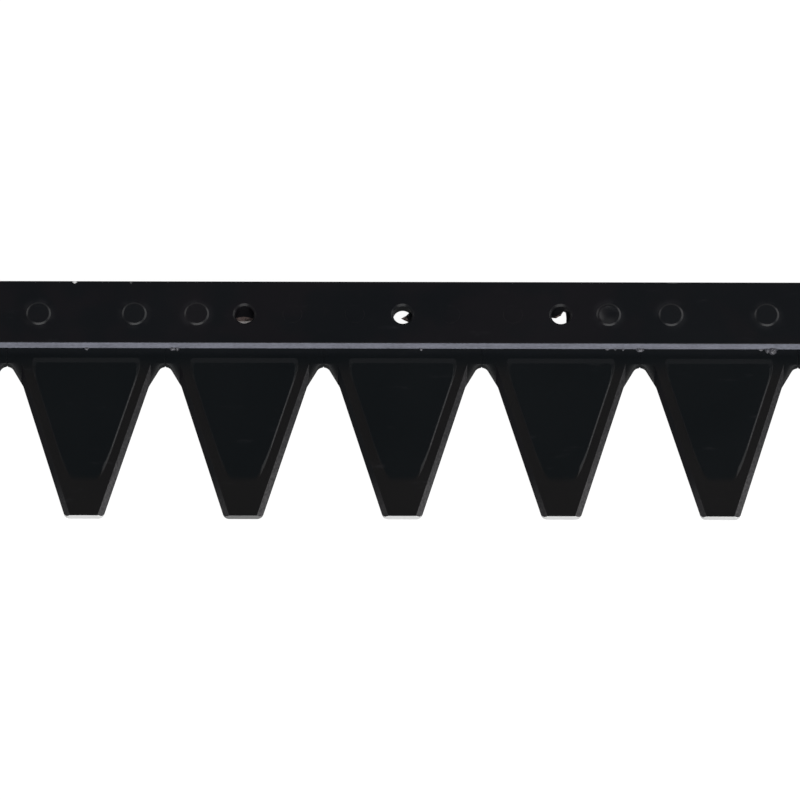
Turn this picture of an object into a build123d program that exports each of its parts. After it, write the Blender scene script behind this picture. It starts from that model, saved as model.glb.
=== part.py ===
from build123d import *
import math
import os

# Sickle bar mower knife: a flat knife back with forged blade sections riveted side by side under it.
# Millimetres. X runs along the bar, the tips point to -Y, the sections lie on Z = 0.
# The origin is the middle drive head bolt hole, on the underside of the sections.

# Knife back
section_count = 9
section_pitch = 70.0
bar_width = 30.0
bar_thickness = 6.0
bar_front_to_holes = 14.0
rear_edge_radius = 0.8
front_edge_radius = 0.3

# Blade section outline, in front of the bar unless it says otherwise
section_thickness = 4.0
section_gap = 0.4
section_rear_setback = 3.0
blade_length = 80.4
tip_width = 16.5
bar_to_knee = 17.0
knee_width = 55.6
notch_flank_angle = 29.5
notch_root_radius = 3.2

# Cutting edges: bevels ground on the bar side, which run out on a ramp in the shoulders
bevel_width = 2.1
edge_land = 1.0
bar_to_ramp = 7.3
ramp_angle = 22.8

# Raised panel forged on each section
panel_height = 0.6
panel_draft_angle = 40.0
panel_rear_ramp = 2.8
panel_front_ramp = 5.0
bar_to_panel = 4.6
panel_to_tip = 15.0
edge_to_panel = 6.0
panel_corner_radius = 4.0

# Rivets: two to a section, flush in the underside, with a closing head hammered into the bar
rivet_spacing = 42.4
rivet_radius = 4.2
closing_head_flare = 1.0

# Drive head: open bolt holes in the bar, over wider holes in the sections that take the bolt heads
head_bolt_count = 3
head_bolt_radius = 4.2
head_bolt_chamfer = 1.2
bolt_head_radius = 6.2

# Worked out from the sizes above, with each reach measured from the row of holes
bar_length = section_count * section_pitch
bar_top = section_thickness + bar_thickness
bar_rear_reach = bar_width - bar_front_to_holes
section_width = section_pitch - section_gap
section_rear_reach = bar_rear_reach - section_rear_setback
tip_reach = bar_front_to_holes + blade_length
knee_reach = bar_front_to_holes + bar_to_knee
ramp_reach = bar_front_to_holes + bar_to_ramp
panel_rear_reach = bar_front_to_holes + bar_to_panel
panel_front_reach = tip_reach - panel_to_tip
edge_slope = (knee_width - tip_width) / 2 / (tip_reach - knee_reach)
notch_mouth = section_pitch - knee_width
middle_index = (section_count - 1) / 2
head_reach = (head_bolt_count - 1) / 2 * section_pitch
cut_margin = section_thickness


def section_x(index):
    """Centre of a section along the bar, counted from the left."""
    return (index - middle_index) * section_pitch


def rivet_row():
    """Places of all the rivets along the bar."""
    return [section_x(i) + side * rivet_spacing / 2 for i in range(section_count) for side in (-1, 1)]


def sits_under_head(x):
    """True between the outer head bolts, where the rivets are ground flush for the drive head."""
    return abs(x) < head_reach


def edge_half_width(reach):
    """Half the width between a section's two cutting edges at a reach from the holes."""
    return tip_width / 2 + (tip_reach - reach) * edge_slope


def notch():
    """The gap between two sections: a V with a round root, centred on X = 0."""
    half_mouth = notch_mouth / 2
    apex = half_mouth / math.tan(math.radians(notch_flank_angle)) - knee_reach
    mouth = -knee_reach - cut_margin
    outline = Polygon(
        (0, apex),
        (-half_mouth, -knee_reach),
        (-half_mouth, mouth),
        (half_mouth, mouth),
        (half_mouth, -knee_reach),
        align=None,
    )
    return fillet(outline.vertices().sort_by(Axis.Y)[-1], notch_root_radius)


def section_outline():
    """A section from above: shoulders as wide as the pitch, and a blade that tapers from knees to tip."""
    outline = Polygon(
        (-section_width / 2, section_rear_reach),
        (-section_width / 2, -knee_reach),
        (-knee_width / 2, -knee_reach),
        (-tip_width / 2, -tip_reach),
        (tip_width / 2, -tip_reach),
        (knee_width / 2, -knee_reach),
        (section_width / 2, -knee_reach),
        (section_width / 2, section_rear_reach),
        align=None,
    )
    for side in (-1, 1):
        outline -= Pos(side * section_pitch / 2, 0) * notch()
    return outline


def above_ramp():
    """The space over the ramp that falls from the shoulders to the knees."""
    run = cut_margin / math.tan(math.radians(ramp_angle))
    high = section_thickness + cut_margin
    low = section_thickness - 2 * cut_margin
    side_view = Polygon(
        (run - ramp_reach, high),
        (-2 * run - ramp_reach, low),
        (-2 * tip_reach, low),
        (-2 * tip_reach, high),
        align=None,
    )
    return extrude(Plane.YZ * side_view, knee_width, both=True)


def bevel_cut():
    """What is ground off the right-hand cutting edge, as far down as the ramp in the shoulder."""
    slope = (section_thickness - edge_land) / bevel_width
    along = Vector(edge_slope, 1, 0).normalized()
    inward = Vector(-along.Y, along.X, 0)
    start = Vector(tip_width / 2, -tip_reach, 0) - along * cut_margin
    profile = Polygon(
        (-notch_mouth, edge_land - notch_mouth * slope),
        (bevel_width + cut_margin, section_thickness + cut_margin * slope),
        (-notch_mouth, section_thickness + cut_margin * slope),
        align=None,
    )
    wedge = extrude(Plane(start, x_dir=inward, z_dir=along) * profile, 2 * tip_reach)
    return wedge & above_ramp()


def raised_panel():
    """A trapezoid along the cutting edges, with drafted sides and a gentle ramp at each end."""
    rear_half = edge_half_width(panel_rear_reach) - edge_to_panel
    front_half = edge_half_width(panel_front_reach) - edge_to_panel
    foot = Polygon(
        (-rear_half, -panel_rear_reach),
        (-front_half, -panel_front_reach),
        (front_half, -panel_front_reach),
        (rear_half, -panel_rear_reach),
        align=None,
    )
    foot = fillet(foot.vertices().sort_by(Axis.Y)[:2], panel_corner_radius)
    block = extrude(Pos(0, 0, section_thickness) * foot, panel_height, taper=panel_draft_angle)
    top = section_thickness + panel_height
    side_view = Polygon(
        (-panel_rear_reach, section_thickness),
        (-panel_rear_reach - panel_rear_ramp, top),
        (panel_front_ramp - panel_front_reach, top),
        (-panel_front_reach, section_thickness),
        align=None,
    )
    ramps = extrude(Plane.YZ * side_view, rear_half, both=True)
    return block & ramps


def turned(points):
    """A solid of revolution about Z from the points of its half profile."""
    return revolve(Plane.XZ * Polygon(*points, align=None), Axis.Z)


def shank():
    """A rivet ground flush at both ends, which is also the hole it fills."""
    return turned([(0, 0), (rivet_radius, 0), (rivet_radius, bar_top), (0, bar_top)])


def headed_rivet():
    """A rivet with its closing head flared into the bar's top face, which is also the hole it fills."""
    points = [
        (0, 0),
        (rivet_radius, 0),
        (rivet_radius, bar_top - closing_head_flare),
        (rivet_radius + closing_head_flare, bar_top),
        (0, bar_top),
    ]
    return turned(points)


def head_bolt_hole():
    """A bolt hole through the bar, with its upper edge chamfered."""
    reach = head_bolt_chamfer + cut_margin
    points = [
        (0, 0),
        (head_bolt_radius, 0),
        (head_bolt_radius, bar_top - head_bolt_chamfer),
        (head_bolt_radius + reach, bar_top + cut_margin),
        (0, bar_top + cut_margin),
    ]
    return turned(points)


def blade_section(carries_bolt):
    """One forged section with its bevels, panel and holes, centred on X = 0."""
    bevel = bevel_cut()
    blade = extrude(section_outline(), section_thickness)
    blade -= [bevel, bevel.mirror(Plane.YZ)]
    blade += raised_panel()
    blade -= [Pos(side * rivet_spacing / 2, 0, 0) * shank() for side in (-1, 1)]
    if carries_bolt:
        blade -= Cylinder(bolt_head_radius, 4 * section_thickness)
    return blade


def knife_back():
    """The flat bar with its long edges rounded and its holes, countersunk where a head fills them."""
    centre_y = bar_rear_reach - bar_width / 2
    centre_z = section_thickness + bar_thickness / 2
    bar = Pos(0, centre_y, centre_z) * Box(bar_length, bar_width, bar_thickness)
    bar = fillet(bar.edges().filter_by(Axis.X).group_by(Axis.Y)[-1], rear_edge_radius)
    front_top = bar.edges().filter_by(Axis.X).group_by(Axis.Y)[0].sort_by(Axis.Z)[-1]
    bar = fillet(front_top, front_edge_radius)
    for x in rivet_row():
        bar -= Pos(x, 0, 0) * (shank() if sits_under_head(x) else headed_rivet())
    for number in range(head_bolt_count):
        bar -= Pos(number * section_pitch - head_reach, 0, 0) * head_bolt_hole()
    return bar


def rivet_group(places, rivet):
    """Rivets of one kind, each a solid of its own."""
    return Compound([Pos(x, 0, 0) * rivet.solid() for x in places])


os.makedirs("parts", exist_ok=True)
export_step(knife_back(), "parts/knife_back.step")
for index in range(section_count):
    x = section_x(index)
    piece = Pos(x, 0, 0) * blade_section(carries_bolt=abs(x) <= head_reach)
    export_step(piece, f"parts/section_{index + 1:02d}.step")
flush_places = [x for x in rivet_row() if sits_under_head(x)]
headed_places = [x for x in rivet_row() if not sits_under_head(x)]
export_step(rivet_group(flush_places, shank()), "parts/flush_rivets.step")
export_step(rivet_group(headed_places, headed_rivet()), "parts/section_rivets.step")
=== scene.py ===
import logging
import math
from dataclasses import dataclass, field
from enum import Enum
from typing import Any, Callable, Iterator, Sequence, Union

import bpy
from mathutils import Matrix, Vector


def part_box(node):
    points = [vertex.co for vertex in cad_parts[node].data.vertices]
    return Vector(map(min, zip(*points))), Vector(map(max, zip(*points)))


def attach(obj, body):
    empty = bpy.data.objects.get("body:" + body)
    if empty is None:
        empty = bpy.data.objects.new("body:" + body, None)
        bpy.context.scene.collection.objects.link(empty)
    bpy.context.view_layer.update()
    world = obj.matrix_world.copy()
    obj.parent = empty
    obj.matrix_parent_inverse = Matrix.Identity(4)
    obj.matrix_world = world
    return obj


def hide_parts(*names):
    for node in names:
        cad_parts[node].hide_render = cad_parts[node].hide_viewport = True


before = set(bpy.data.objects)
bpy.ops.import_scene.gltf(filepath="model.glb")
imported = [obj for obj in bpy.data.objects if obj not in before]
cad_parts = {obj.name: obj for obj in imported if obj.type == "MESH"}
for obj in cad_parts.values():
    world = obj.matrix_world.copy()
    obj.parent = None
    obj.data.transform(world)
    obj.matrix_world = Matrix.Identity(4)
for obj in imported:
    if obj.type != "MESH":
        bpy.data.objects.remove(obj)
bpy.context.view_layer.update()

# A sickle bar mower knife: forged blade sections riveted under a flat knife back, in black enamel.
# Metres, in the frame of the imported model. The tips point to -Y and the sections lie on Z = 0.

BODY = "root"
MM = 0.001
START_RADIUS = 1.0
MERGE_DISTANCE = 0.0005 * MM
LOG = logging.getLogger("mower_knife")

# Places nearer than this count as one, and a unit direction over this share counts as along the axis.
NEAR = MM / 10
ALONG_AXIS = 0.9

Point = tuple[float, float]
Span = tuple[float, float]
Colour = tuple[float, float, float, float]
Number = Union["Value", float]
Test = Callable[[Vector, Vector], bool]


class Part(Enum):
    """What an edit selects."""

    VERTEX = "VERT"
    EDGE = "EDGE"
    FACE = "FACE"


class Joining(Enum):
    """How one solid acts on another."""

    TAKE_AWAY = "DIFFERENCE"
    ADD = "UNION"


class RivetHead(Enum):
    """How a rivet's closing head was finished."""

    HAMMERED = "hammered"
    SUNK = "sunk"
    GROUND = "ground"


class FilmKind(Enum):
    """How thick a film of coating is, from the thinnest up; the lowest is a pale sheet painted as light from
    below.
    """

    BACKLIT = 0
    BROWN = 1
    DARK = 2


def grey(level: float) -> Colour:
    """A grey of a given level."""
    return level, level, level, 1.0


def clear_bench() -> None:
    """Leaves edit mode and deselects everything."""
    if bpy.context.mode != "OBJECT":
        bpy.ops.object.mode_set(mode="OBJECT")
    bpy.ops.object.select_all(action="DESELECT")


def take(piece: bpy.types.Object) -> None:
    """Makes a piece the only selected object and the active one.

    Args:
        piece: The object to work on.
    """
    clear_bench()
    piece.select_set(True)
    bpy.context.view_layer.objects.active = piece


def settle(piece: bpy.types.Object) -> None:
    """Moves an object's place, turn and scale into its mesh."""
    take(piece)
    bpy.ops.object.transform_apply(location=True, rotation=True, scale=True)


def parts_of(mesh: bpy.types.Mesh, part: Part) -> Iterator[tuple[Any, Vector, Vector]]:
    """Walks the vertices, edges or faces of a mesh.

    Args:
        mesh: The mesh to walk.
        part: Which of them.

    Returns:
        Each one with its middle, and its normal or, for an edge, its direction.
    """
    if part is Part.VERTEX:
        for vertex in mesh.vertices:
            yield vertex, vertex.co, vertex.normal
    elif part is Part.EDGE:
        for edge in mesh.edges:
            start, end = (mesh.vertices[index].co for index in edge.vertices)
            yield edge, (start + end) / 2, (end - start).normalized()
    else:
        for polygon in mesh.polygons:
            yield polygon, polygon.center, polygon.normal


def pick(piece: bpy.types.Object, part: Part, wanted: Test) -> None:
    """Selects what passes a test, and stays in edit mode.

    Args:
        piece: The object to work on.
        part: What is selected.
        wanted: Test on its middle and its normal or direction.
    """
    take(piece)
    bpy.ops.object.mode_set(mode="EDIT")
    bpy.ops.mesh.select_mode(type=part.value)
    bpy.ops.mesh.select_all(action="DESELECT")
    bpy.ops.object.mode_set(mode="OBJECT")
    for element, place, way in parts_of(piece.data, part):
        element.select = wanted(place, way)
    bpy.ops.object.mode_set(mode="EDIT")


def close_up(piece: bpy.types.Object) -> None:
    """Merges doubled vertices and turns all faces outwards.

    Args:
        piece: The object that is changed.
    """
    pick(piece, Part.VERTEX, lambda place, way: True)
    bpy.ops.mesh.remove_doubles(threshold=MERGE_DISTANCE)
    bpy.ops.mesh.normals_make_consistent(inside=False)
    bpy.ops.object.mode_set(mode="OBJECT")


def prism(
    name: str, outline: Sequence[Point], low: float, high: float, lid: Sequence[Point] | None = None
) -> bpy.types.Object:
    """Pulls the corners of a primitive prism to an outline.

    Args:
        name: Name of the new object.
        outline: Corners of the foot, in order.
        low: Height of the foot.
        high: Height of the lid.
        lid: Corners of the lid, where it differs from the foot.

    Returns:
        The prism, closed, with its place in its mesh.
    """
    clear_bench()
    bpy.ops.mesh.primitive_cylinder_add(
        vertices=len(outline), radius=START_RADIUS, depth=high - low, location=(0, 0, (low + high) / 2)
    )
    piece = bpy.context.object
    piece.name = name
    settle(piece)
    for height, corners in ((low, outline), (high, lid or outline)):
        for number, (x, y) in enumerate(corners):
            turn = math.tau * number / len(corners)
            start = Vector((math.sin(turn) * START_RADIUS, math.cos(turn) * START_RADIUS, height))
            pick(piece, Part.VERTEX, lambda place, way: (place - start).length < NEAR)
            bpy.ops.transform.translate(value=(x - start.x, y - start.y, 0))
    close_up(piece)
    return piece


def turned(name: str, profile: Sequence[Point], steps: int, x: float = 0.0) -> bpy.types.Object:
    """Spins a half profile about an upright axis.

    Args:
        name: Name of the new object.
        profile: Radius and height of each point, from axis to axis.
        steps: Steps in the full turn.
        x: Place of the axis along the knife.

    Returns:
        The turned solid, closed.
    """
    clear_bench()
    bpy.ops.mesh.primitive_plane_add(size=MM)
    piece = bpy.context.object
    piece.name = name
    bpy.ops.object.mode_set(mode="EDIT")
    bpy.ops.mesh.select_all(action="SELECT")
    bpy.ops.mesh.merge(type="CENTER")
    radius, height = profile[0]
    bpy.ops.transform.translate(value=(x + radius, 0, height))
    for (near, below), (far, above) in zip(profile, profile[1:]):
        bpy.ops.mesh.extrude_region_move(TRANSFORM_OT_translate={"value": (far - near, 0, above - below)})
    bpy.ops.mesh.select_all(action="SELECT")
    bpy.ops.mesh.spin(steps=steps, angle=math.tau, center=(x, 0, 0), axis=(0, 0, 1))
    close_up(piece)
    return piece


def join(pieces: Sequence[bpy.types.Object], name: str) -> bpy.types.Object:
    """Joins objects into one.

    Args:
        pieces: The objects, of which the first stays.
        name: Name of the joined object.

    Returns:
        The joined object.
    """
    take(pieces[0])
    for piece in pieces[1:]:
        piece.select_set(True)
    bpy.ops.object.join()
    pieces[0].name = name
    return pieces[0]


def apply(piece: bpy.types.Object, kind: str, **settings: Any) -> None:
    """Adds a modifier and applies it.

    Args:
        piece: The object that is changed.
        kind: Blender's name for the modifier.
        **settings: Values of the modifier's properties.
    """
    take(piece)
    modifier = piece.modifiers.new(kind.lower(), kind)
    for key, value in settings.items():
        setattr(modifier, key, value)
    bpy.ops.object.modifier_apply(modifier=modifier.name)


def combine(piece: bpy.types.Object, tool: bpy.types.Object, joining: Joining) -> None:
    """Adds a tool's solid to a piece or takes it away, and removes the tool.

    Args:
        piece: The object that is changed.
        tool: The solid that acts on it.
        joining: What it does.
    """
    apply(piece, "BOOLEAN", object=tool, operation=joining.value, solver="EXACT")
    bpy.data.objects.remove(tool)


def round_edges(piece: bpy.types.Object, wanted: Test, reach: float, segments: int) -> None:
    """Rounds the edges that pass a test.

    Args:
        piece: The object that is changed.
        wanted: Test on an edge's middle and direction.
        reach: How far the rounding goes along the faces beside the edge.
        segments: Faces in the rounding.
    """
    pick(piece, Part.EDGE, wanted)
    bpy.ops.mesh.bevel(offset=reach, segments=segments, profile=0.5, affect="EDGES")
    bpy.ops.object.mode_set(mode="OBJECT")


def soften(piece: bpy.types.Object, width: float, segments: int = 3, sharp_deg: float = 24.0) -> None:
    """Rounds all sharp edges a little, as enamel does, and shades the piece smooth.

    Args:
        piece: The object that is changed.
        width: Reach of the rounding.
        segments: Faces in the rounding.
        sharp_deg: Least angle of an edge that is rounded.
    """
    close_up(piece)
    apply(
        piece,
        "BEVEL",
        width=width,
        segments=segments,
        limit_method="ANGLE",
        angle_limit=math.radians(sharp_deg),
        miter_outer="MITER_ARC",
    )
    smooth(piece)


def smooth(piece: bpy.types.Object, sharp_deg: float = 40.0) -> None:
    """Shades a piece smooth, with its large faces flat.

    Args:
        piece: The object that is shaded.
        sharp_deg: Edges over this angle stay sharp.
    """
    take(piece)
    bpy.ops.object.shade_smooth_by_angle(angle=math.radians(sharp_deg))
    apply(piece, "WEIGHTED_NORMAL", keep_sharp=True)


def copied(piece: bpy.types.Object, name: str, x: float) -> bpy.types.Object:
    """Copies a piece along the knife.

    Args:
        piece: The model, which stays.
        name: Name of the copy.
        x: How far the copy moves along the knife.

    Returns:
        The copy, with its own mesh and its place in it.
    """
    take(piece)
    bpy.ops.object.duplicate_move(TRANSFORM_OT_translate={"value": (x, 0, 0)})
    copy = bpy.context.object
    copy.name = name
    settle(copy)
    return copy


def arc(centre: Point, radius: float, start_deg: float, end_deg: float, steps: int) -> list[Point]:
    """Works out points along an arc.

    Args:
        centre: Middle of the arc.
        radius: Its radius.
        start_deg: Angle of its first point from +X.
        end_deg: Angle of its last point.
        steps: Steps between them.

    Returns:
        The points, ends included.
    """
    angles = (math.radians(start_deg + (end_deg - start_deg) * step / steps) for step in range(steps + 1))
    return [(centre[0] + radius * math.cos(angle), centre[1] + radius * math.sin(angle)) for angle in angles]


class Value:
    """A shader value, which adds Math nodes when it is used in an expression."""

    def __init__(self, board: "Board", socket: bpy.types.NodeSocket | None) -> None:
        """Keeps the board that the value is on, and its socket."""
        self.board = board
        self.socket = socket

    def __add__(self, other: Number) -> "Value":
        """Value plus other."""
        return self.board.math("ADD", self, other)

    def __radd__(self, other: Number) -> "Value":
        """Other plus value."""
        return self.board.math("ADD", other, self)

    def __sub__(self, other: Number) -> "Value":
        """Value less other."""
        return self.board.math("SUBTRACT", self, other)

    def __rsub__(self, other: Number) -> "Value":
        """Other less value."""
        return self.board.math("SUBTRACT", other, self)

    def __mul__(self, other: Number) -> "Value":
        """Value times other."""
        return self.board.math("MULTIPLY", self, other)

    def __rmul__(self, other: Number) -> "Value":
        """Other times value."""
        return self.board.math("MULTIPLY", other, self)

    def __truediv__(self, other: Number) -> "Value":
        """Value over other."""
        return self.board.math("DIVIDE", self, other)

    def __rtruediv__(self, other: Number) -> "Value":
        """Other over value."""
        return self.board.math("DIVIDE", other, self)

    def __abs__(self) -> "Value":
        """Size of the value without its sign."""
        return self.board.math("ABSOLUTE", self)

    def larger(self, other: Number) -> "Value":
        """The larger of two values."""
        return self.board.math("MAXIMUM", self, other)

    def step(self, low: float, high: float) -> "Value":
        """A smooth step from 0 at low to 1 at high."""
        return self.board.node(
            "ShaderNodeMapRange",
            {"interpolation_type": "SMOOTHSTEP"},
            {"Value": self, "From Min": low, "From Max": high, "To Min": 0.0, "To Max": 1.0},
        )


class Board:
    """The node tree of a material or world, with one method that adds nodes to it."""

    def __init__(self, owner: Union[bpy.types.Material, bpy.types.World]) -> None:
        """Empties the owner's node tree.

        Args:
            owner: The material or world.
        """
        owner.use_nodes = True
        self.tree = owner.node_tree
        self.tree.nodes.clear()

    def node(
        self,
        kind: str,
        settings: dict[str, Any] | None = None,
        inputs: dict[Any, Any] | None = None,
        output: Any = 0,
    ) -> Value:
        """Adds a node.

        Args:
            kind: Blender's name for the node.
            settings: Its properties, such as a Math node's operation.
            inputs: Values or links of its sockets, by name or number.
            output: Name or number of the output that is wanted.

        Returns:
            That output.
        """
        made = self.tree.nodes.new(kind)
        for key, value in (settings or {}).items():
            setattr(made, key, value)
        for key, value in (inputs or {}).items():
            if isinstance(value, Value):
                self.tree.links.new(value.socket, made.inputs[key])
            else:
                made.inputs[key].default_value = value
        return Value(self, made.outputs[output]) if made.outputs else Value(self, None)

    def math(self, operation: str, first: Number, second: Number = 0.0) -> Value:
        """Adds a Math node on one or two values."""
        return self.node("ShaderNodeMath", {"operation": operation}, {0: first, 1: second})

    def mix(self, share: Number, first: Any, second: Any) -> Value:
        """Mixes two colours, by the share of the second."""
        return self.node("ShaderNodeMix", {"data_type": "RGBA"}, {0: share, 6: first, 7: second}, 2)

    def place(self, stretch: tuple[float, float, float] = (1.0, 1.0, 1.0)) -> Value:
        """Object coordinates in millimetres.

        Args:
            stretch: Factor on each axis, under 1 to draw a pattern out along it.

        Returns:
            The coordinates as a vector.
        """
        spot = self.node("ShaderNodeTexCoord", output="Object")
        factors = tuple(share / MM for share in stretch)
        return self.node("ShaderNodeVectorMath", {"operation": "MULTIPLY"}, {0: spot, 1: factors})

    def axes(self) -> tuple[Value, Value, Value]:
        """Splits the object coordinates.

        Returns:
            The coordinate along each axis, in millimetres.
        """
        split = self.node("ShaderNodeSeparateXYZ", inputs={0: self.place()})
        outputs = split.socket.node.outputs
        return Value(self, outputs[0]), Value(self, outputs[1]), Value(self, outputs[2])

    def noise(self, spot: Value, size: float, detail: float = 2.0, roughness: float = 0.5) -> Value:
        """A noise pattern.

        Args:
            spot: Coordinates in millimetres.
            size: Size of its grains in millimetres.
            detail: How many finer layers it has.
            roughness: How much they weigh.

        Returns:
            The pattern, around a half.
        """
        inputs = {"Vector": spot, "Scale": 1.0 / size, "Detail": detail, "Roughness": roughness}
        return self.node("ShaderNodeTexNoise", inputs=inputs)

    def bump(self, height: Value, depth: float) -> Value:
        """A bumped normal, from a pattern of heights and its depth in metres."""
        return self.node("ShaderNodeBump", inputs={"Strength": 1.0, "Distance": depth, "Height": height})

    def surface(self, inputs: dict[str, Any]) -> None:
        """Adds the Principled shader and the output."""
        shader = self.node("ShaderNodeBsdfPrincipled", inputs=inputs)
        self.node("ShaderNodeOutputMaterial", inputs={"Surface": shader})


@dataclass
class KnifePlan:
    """Places that the pieces share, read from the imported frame.

    Attributes:
        section_nodes: Names of the sections, from left to right.
        centres: Their middles along the knife.
        pitch: Distance between two of them.
        bar_low: Lowest corner of the knife back.
        bar_high: Its highest corner.
        section_low: Lowest corner of the middle section, about its own middle.
        section_high: Its highest corner, about its own middle.
        rivet_spacing: Distance between a section's two rivets.
        hole_radius: Radius of the rivet holes and bolt holes.
        flare: How far a closing head spreads into the bar.
        chamfer: Width of a bolt hole's chamfer.
        head_reach: Distance of the outer bolt holes from the middle one.
    """

    section_nodes: list[str]
    centres: list[float]
    pitch: float
    bar_low: Vector
    bar_high: Vector
    section_low: Vector
    section_high: Vector
    rivet_spacing: float = 42.4 * MM
    hole_radius: float = 4.2 * MM
    flare: float = 1.0 * MM
    chamfer: float = 0.9 * MM
    head_reach: float = 70.0 * MM

    @classmethod
    def from_frame(cls) -> "KnifePlan":
        """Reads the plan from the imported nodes.

        Returns:
            The plan.
        """
        names = sorted(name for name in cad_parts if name.removeprefix("section_").isdigit())
        boxes = [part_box(name) for name in names]
        centres = [(low.x + high.x) / 2 for low, high in boxes]
        middle = len(names) // 2
        away = Vector((centres[middle], 0, 0))
        bar_low, bar_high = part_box("knife_back")
        return cls(
            section_nodes=names,
            centres=centres,
            pitch=centres[1] - centres[0],
            bar_low=bar_low,
            bar_high=bar_high,
            section_low=boxes[middle][0] - away,
            section_high=boxes[middle][1] - away,
        )

    @property
    def section_top(self) -> float:
        """Height of the sections' flat upper face, which carries the knife back."""
        return self.bar_low.z

    def rivet_places(self) -> list[float]:
        """Places of all the rivets along the knife."""
        return [x + side * self.rivet_spacing / 2 for x in self.centres for side in (-1, 1)]

    def carries_bolt(self, x: float) -> bool:
        """Whether a section has a bolt hole."""
        return abs(x) < self.head_reach + MM

    def under_head(self, x: float) -> bool:
        """Whether a rivet lies under the seat of the drive head."""
        return abs(x) < self.head_reach

    def bolt_places(self) -> tuple[float, float, float]:
        """Places of the bolt holes along the knife."""
        return -self.head_reach, 0.0, self.head_reach


@dataclass(frozen=True)
class EdgeMark:
    """A mark on the rear edge, either a chip in the enamel or a patch of painted highlight.

    Attributes:
        x: Its middle along the knife, in millimetres.
        half_width: Half its width, in millimetres.
        depth: How far it reaches in from the edge, in millimetres.
        paleness: How pale it is, from 0 to 1.
    """

    x: float
    half_width: float
    depth: float
    paleness: float


@dataclass(frozen=True)
class BlackEnamel:
    """Glossy black enamel over forged or rolled steel.

    Attributes:
        name: Name of the material.
        colour: Its colour.
        warm_colour: Its colour where it is thinner and warmer.
        wear_and_sheen_colour: Its colour where it is scuffed, and where highlight is painted.
        bare_and_sheen_colour: Colour of what shows where it has come off, and of painted highlight on the
            edge.
        roughness: Its mean roughness.
        specular: Its specular level.
        peel_size: Size of its orange peel, in millimetres.
        peel_depth: Depth of its orange peel, in metres.
        wave_size: Size of the waves in the steel under it, in millimetres.
        wave_depth: Depth of those waves, in metres.
        haze_size: Size of its hazy patches, in millimetres.
        haze: How far they change the roughness.
        wear_roughness: What scuffs, chips and painted highlight add to the roughness.
        patch_size: Size of the warm patches, in millimetres.
        patch_levels: Levels of the noise at which they start and are full.
        smear_size: Size of the scuffs across the knife, in millimetres.
        smear_stretch: Factor that draws them out along the knife.
        smear_levels: Levels of the noise at which they start and are full.
        scuffs: How much it is scuffed, from 0 to 1.
    """

    name: str
    colour: Colour = (0.0034, 0.0042, 0.0056, 1.0)
    warm_colour: Colour = (0.005, 0.0047, 0.0062, 1.0)
    wear_and_sheen_colour: Colour = (0.025, 0.025, 0.028, 1.0)
    bare_and_sheen_colour: Colour = grey(0.6)
    roughness: float = 0.32
    specular: float = 0.2
    peel_size: float = 1.3
    peel_depth: float = 0.004 * MM
    wave_size: float = 14.0
    wave_depth: float = 0.02 * MM
    haze_size: float = 40.0
    haze: float = 0.12
    wear_roughness: float = 0.2
    patch_size: float = 25.0
    patch_levels: Span = (0.42, 0.6)
    smear_size: float = 5.0
    smear_stretch: float = 0.25
    smear_levels: Span = (0.6, 0.78)
    scuffs: float = 0.3

    def make(self) -> bpy.types.Material:
        """Builds the material.

        Returns:
            The material.
        """
        material = bpy.data.materials.new(self.name)
        board = Board(material)
        spot = board.place()
        waves = board.noise(spot, self.wave_size)
        peel = board.noise(spot, self.peel_size)
        haze = board.noise(spot, self.haze_size, detail=3.0) - 0.5
        # The wear mask holds real scuffs, and in the section and bevel enamels also painted highlight; the
        # bare mask holds chips, and on the knife back also painted highlight.
        wear_and_sheen, bare = self.wear_and_sheen(board), self.bare(board)
        colour = board.mix(self.warmth(board), self.colour, self.warm_colour)
        colour = board.mix(wear_and_sheen, colour, self.wear_and_sheen_colour)
        wear = wear_and_sheen * self.wear_roughness + bare * self.wear_roughness
        board.surface(
            {
                "Base Color": board.mix(bare, colour, self.bare_and_sheen_colour),
                "Roughness": self.roughness + haze * self.haze + wear + self.dullness(board),
                "Normal": board.bump(waves * (self.wave_depth / self.peel_depth) + peel, self.peel_depth),
                "Specular IOR Level": self.specular,
            }
        )
        return material

    def warmth(self, board: Board) -> Value:
        """Where the enamel is warm in tone, in broad patches."""
        return board.noise(board.place(), self.patch_size).step(*self.patch_levels)

    def wear_and_sheen(self, board: Board) -> Value:
        """Where the enamel is scuffed, in smears along the knife."""
        smear = board.noise(
            board.place((self.smear_stretch, 1.0, 1.0)), self.smear_size, detail=5.0, roughness=0.65
        )
        return smear.step(*self.smear_levels) * self.scuffs

    def bare(self, board: Board) -> Number:
        """Where the enamel has come off or highlight is painted: nowhere."""
        return 0.0

    def dullness(self, board: Board) -> Number:
        """Where the enamel has lost its gloss: nowhere."""
        return 0.0


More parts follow.
